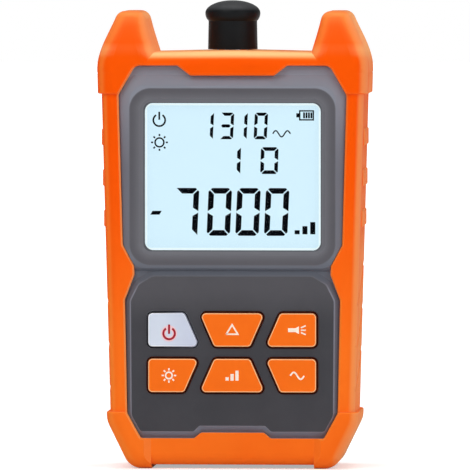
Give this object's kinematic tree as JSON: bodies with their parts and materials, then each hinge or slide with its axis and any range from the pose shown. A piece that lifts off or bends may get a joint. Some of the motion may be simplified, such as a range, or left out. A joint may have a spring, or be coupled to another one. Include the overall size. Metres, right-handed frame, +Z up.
{
  "type": "optical power meter",
  "caption": "Handheld optical power meter: hard case in a rubber boot, display, keypad, fibre port with dust cap.",
  "frame": {"origin": "on the floor under the middle of the case, at the centre of the bounding box's bottom", "axes": "+Z up, along the meter's height; +X to the right of the display; the display faces -Y"},
  "size_m": [0.071, 0.0312, 0.122],
  "materials": {
    "boot_rubber": "satin",
    "cover_plastic": "matte",
    "window_clear": "gloss",
    "lcd_glass": "gloss",
    "black_rubber": "matte",
    "white_plastic": "matte",
    "board_laminate": "satin",
    "black_plastic": "matte",
    "screw_steel": "satin",
    "port_metal": "polished",
    "can_metal": "polished",
    "lamp_clear": "gloss",
    "contact_metal": "satin",
    "cell_jacket": "gloss",
    "cap_rubber": "satin",
    "key_orange": "satin",
    "key_white": "satin"
  },
  "bodies": {
    "case": {"protective_boot": "boot_rubber", "front_cover": "cover_plastic", "back_cover": "cover_plastic", "display_window": "window_clear", "display_gasket": "black_rubber", "lcd_panel": "lcd_glass", "backlight_panel": "white_plastic", "display_connector": "black_rubber", "main_board": "board_laminate", "key_switches": "black_plastic", "board_chips": "black_plastic", "housing_screws": "screw_steel", "board_screws": "screw_steel", "port_adapter": "port_metal", "port_nut": "port_metal", "detector_can": "can_metal", "detector_holder": "black_plastic", "detector_board": "board_laminate", "torch_led": "lamp_clear", "torch_leads": "contact_metal", "battery_contacts_upper": "contact_metal", "battery_contacts_lower": "contact_metal", "battery_cell_1": "cell_jacket", "battery_cell_2": "cell_jacket", "battery_cell_3": "cell_jacket"},
    "power_key": {"key_power": "key_white", "plunger_power": "white_plastic"},
    "ref_key": {"key_ref": "key_orange", "plunger_ref": "white_plastic"},
    "torch_key": {"key_torch": "key_orange", "plunger_torch": "white_plastic"},
    "light_key": {"key_light": "key_orange", "plunger_light": "white_plastic"},
    "db_key": {"key_db": "key_orange", "plunger_db": "white_plastic"},
    "wavelength_key": {"key_wavelength": "key_orange", "plunger_wavelength": "white_plastic"},
    "cap": {"dust_cap": "cap_rubber"},
    "door": {"battery_door": "cover_plastic"}
  },
  "joints": [
    {"name": "power_key_press", "type": "slide", "parent": "case", "child": "power_key", "axis": [0, 1, 0], "range_m": [0, 0.0008], "stiffness_N_per_m": 1500, "springref_m": -0.0002},
    {"name": "ref_key_press", "type": "slide", "parent": "case", "child": "ref_key", "axis": [0, 1, 0], "range_m": [0, 0.0008], "stiffness_N_per_m": 1500, "springref_m": -0.0002},
    {"name": "torch_key_press", "type": "slide", "parent": "case", "child": "torch_key", "axis": [0, 1, 0], "range_m": [0, 0.0008], "stiffness_N_per_m": 1500, "springref_m": -0.0002},
    {"name": "light_key_press", "type": "slide", "parent": "case", "child": "light_key", "axis": [0, 1, 0], "range_m": [0, 0.0008], "stiffness_N_per_m": 1500, "springref_m": -0.0002},
    {"name": "db_key_press", "type": "slide", "parent": "case", "child": "db_key", "axis": [0, 1, 0], "range_m": [0, 0.0008], "stiffness_N_per_m": 1500, "springref_m": -0.0002},
    {"name": "wavelength_key_press", "type": "slide", "parent": "case", "child": "wavelength_key", "axis": [0, 1, 0], "range_m": [0, 0.0008], "stiffness_N_per_m": 1500, "springref_m": -0.0002},
    {"name": "dust_cap_pull", "type": "slide", "parent": "case", "child": "cap", "axis": [0, 0, 1], "range_m": [0, 0.055]},
    {"name": "battery_door_tilt", "type": "hinge", "parent": "case", "child": "door", "pos_m": [0, 0.01355, 0.02], "axis": [-1, 0, 0], "range_deg": [0, 40]}
  ]
}
